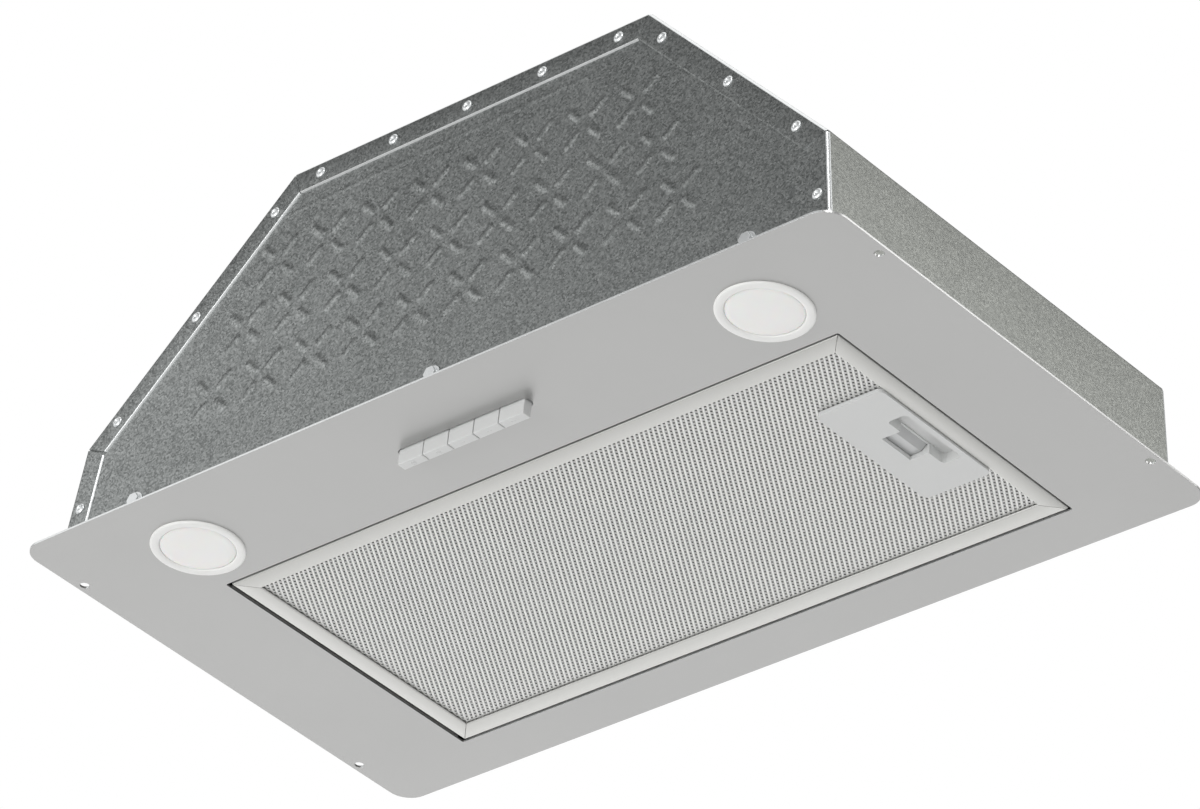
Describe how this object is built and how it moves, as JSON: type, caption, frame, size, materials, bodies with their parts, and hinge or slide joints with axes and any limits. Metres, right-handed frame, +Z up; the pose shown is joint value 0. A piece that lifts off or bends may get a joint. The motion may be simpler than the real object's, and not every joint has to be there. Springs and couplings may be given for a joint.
{
  "type": "range hood insert",
  "caption": "Cooker hood insert for the underside of a cabinet: face plate with latched grease filter, round lamps and push buttons, tapered sheet-metal body, fan and duct collar.",
  "frame": {"origin": "The middle of the four fixing holes, on the upper side of the face plate.", "axes": "+X points to the end of the filter with the handle, +Z up into the cabinet, -Y to the row of push buttons."},
  "size_m": [0.525, 0.284, 0.2302],
  "materials": {
    "silver_lacquer": "satin silver-grey baked lacquer on sheet steel",
    "galvanised_sheet": "bare galvanised sheet, dull grey with faint spangle",
    "filter_aluminium": "satin natural aluminium",
    "filter_foil": "folded and expanded aluminium foil, natural",
    "handle_plastic": "fine matt silver-grey moulding",
    "latch_steel": "bright zinc-plated bent sheet",
    "lamp_ring_plastic": "satin light grey moulding",
    "lamp_lens_plastic": "frosted opal",
    "circuit_board": "solder-mask green",
    "heat_sink_aluminium": "die cast, natural",
    "spring_steel": "bright spring steel",
    "housing_plastic": "fine matt",
    "button_plastic": "fine matt grey",
    "blower_plastic": "fine matt black",
    "motor_metal": "pressed and turned, natural",
    "motor_laminations": "stacked electrical steel, oiled",
    "winding_copper": "enamelled copper wire",
    "bearing_bronze": "sintered bronze",
    "shaft_steel": "ground steel",
    "bush_rubber": "matt black",
    "zinc_hardware": "bright zinc plate",
    "collar_plastic": "fine matt dark grey",
    "pale_plastic": "fine matt off-white"
  },
  "bodies": {
    "hood": {"face_plate": "silver_lacquer", "plate_upturns": "silver_lacquer", "wrapper_shell": "galvanised_sheet", "front_panel": "galvanised_sheet", "rear_panel": "galvanised_sheet", "front_rivets": "zinc_hardware", "rear_rivets": "zinc_hardware", "foot_screws": "zinc_hardware", "lamp_rings": "lamp_ring_plastic", "lamp_lenses": "lamp_lens_plastic", "lamp_boards": "circuit_board", "lamp_heat_sinks": "heat_sink_aluminium", "lamp_spring_clips": "spring_steel", "switch_housing": "housing_plastic", "switch_board": "circuit_board", "scroll_left_half": "blower_plastic", "scroll_right_half": "blower_plastic", "motor_front_cover": "motor_metal", "motor_rear_cover": "motor_metal", "motor_stator": "motor_laminations", "motor_windings": "winding_copper", "motor_bearings": "bearing_bronze", "motor_bracket": "galvanised_sheet", "bracket_bushes": "bush_rubber", "bracket_screws": "zinc_hardware", "duct_collar": "collar_plastic", "collar_flange": "collar_plastic", "outlet_screws": "zinc_hardware", "damper_pin": "shaft_steel", "terminal_box": "pale_plastic", "terminal_lid": "pale_plastic", "terminal_block": "pale_plastic", "cable_gland": "housing_plastic", "lamp_driver": "pale_plastic", "motor_capacitor": "pale_plastic", "light_button_spring": "spring_steel", "stop_button_spring": "spring_steel", "low_speed_button_spring": "spring_steel", "medium_speed_button_spring": "spring_steel", "high_speed_button_spring": "spring_steel"},
    "filter_cartridge": {"filter_frame": "filter_aluminium", "filter_front_mesh": "filter_foil", "filter_foil_layers": "filter_foil", "filter_back_mesh": "filter_foil", "filter_end_tabs": "filter_aluminium", "filter_handle": "handle_plastic", "latch_spring": "spring_steel"},
    "latch": {"latch_slide": "latch_steel"},
    "fan_rotor": {"impeller_disc": "blower_plastic", "impeller_blades": "blower_plastic", "impeller_rings": "blower_plastic", "motor_shaft": "shaft_steel", "motor_rotor": "motor_laminations"},
    "damper_front": {"front_damper": "collar_plastic"},
    "damper_rear": {"rear_damper": "collar_plastic"},
    "light_button_key": {"light_button": "button_plastic"},
    "stop_button_key": {"stop_button": "button_plastic"},
    "low_speed_button_key": {"low_speed_button": "button_plastic"},
    "medium_speed_button_key": {"medium_speed_button": "button_plastic"},
    "high_speed_button_key": {"high_speed_button": "button_plastic"}
  },
  "joints": [
    {"name": "filter_swing", "type": "hinge", "parent": "hood", "child": "filter_cartridge", "pos_m": [-0.194, 0.0255, -0.0006], "axis": [0, 1, 0], "range_deg": [0, 75]},
    {"name": "latch_slide_back", "type": "slide", "parent": "filter_cartridge", "child": "latch", "axis": [-1, 0, 0], "range_m": [0, 0.006], "stiffness_N_per_m": 400, "springref_m": -0.002, "deforming": ["latch_spring"]},
    {"name": "fan_spin", "type": "hinge", "parent": "hood", "child": "fan_rotor", "pos_m": [0, -0.036, 0.111], "axis": [1, 0, 0], "continuous": true},
    {"name": "front_damper_lift", "type": "hinge", "parent": "hood", "child": "damper_front", "pos_m": [0, 0.019, 0.192], "axis": [-1, 0, 0], "range_deg": [0, 75]},
    {"name": "rear_damper_lift", "type": "hinge", "parent": "hood", "child": "damper_rear", "pos_m": [0, 0.019, 0.192], "axis": [1, 0, 0], "range_deg": [0, 75]},
    {"name": "light_button_press", "type": "slide", "parent": "hood", "child": "light_button_key", "axis": [0, 0, 1], "range_m": [0, 0.0035], "stiffness_N_per_m": 300, "springref_m": -0.002, "deforming": ["light_button_spring"]},
    {"name": "stop_button_press", "type": "slide", "parent": "hood", "child": "stop_button_key", "axis": [0, 0, 1], "range_m": [0, 0.0035], "stiffness_N_per_m": 300, "springref_m": -0.002, "deforming": ["stop_button_spring"]},
    {"name": "low_speed_button_press", "type": "slide", "parent": "hood", "child": "low_speed_button_key", "axis": [0, 0, 1], "range_m": [0, 0.0035], "stiffness_N_per_m": 300, "springref_m": -0.002, "deforming": ["low_speed_button_spring"]},
    {"name": "medium_speed_button_press", "type": "slide", "parent": "hood", "child": "medium_speed_button_key", "axis": [0, 0, 1], "range_m": [0, 0.0035], "stiffness_N_per_m": 300, "springref_m": -0.002, "deforming": ["medium_speed_button_spring"]},
    {"name": "high_speed_button_press", "type": "slide", "parent": "hood", "child": "high_speed_button_key", "axis": [0, 0, 1], "range_m": [0, 0.0035], "stiffness_N_per_m": 300, "springref_m": -0.002, "deforming": ["high_speed_button_spring"]}
  ]
}
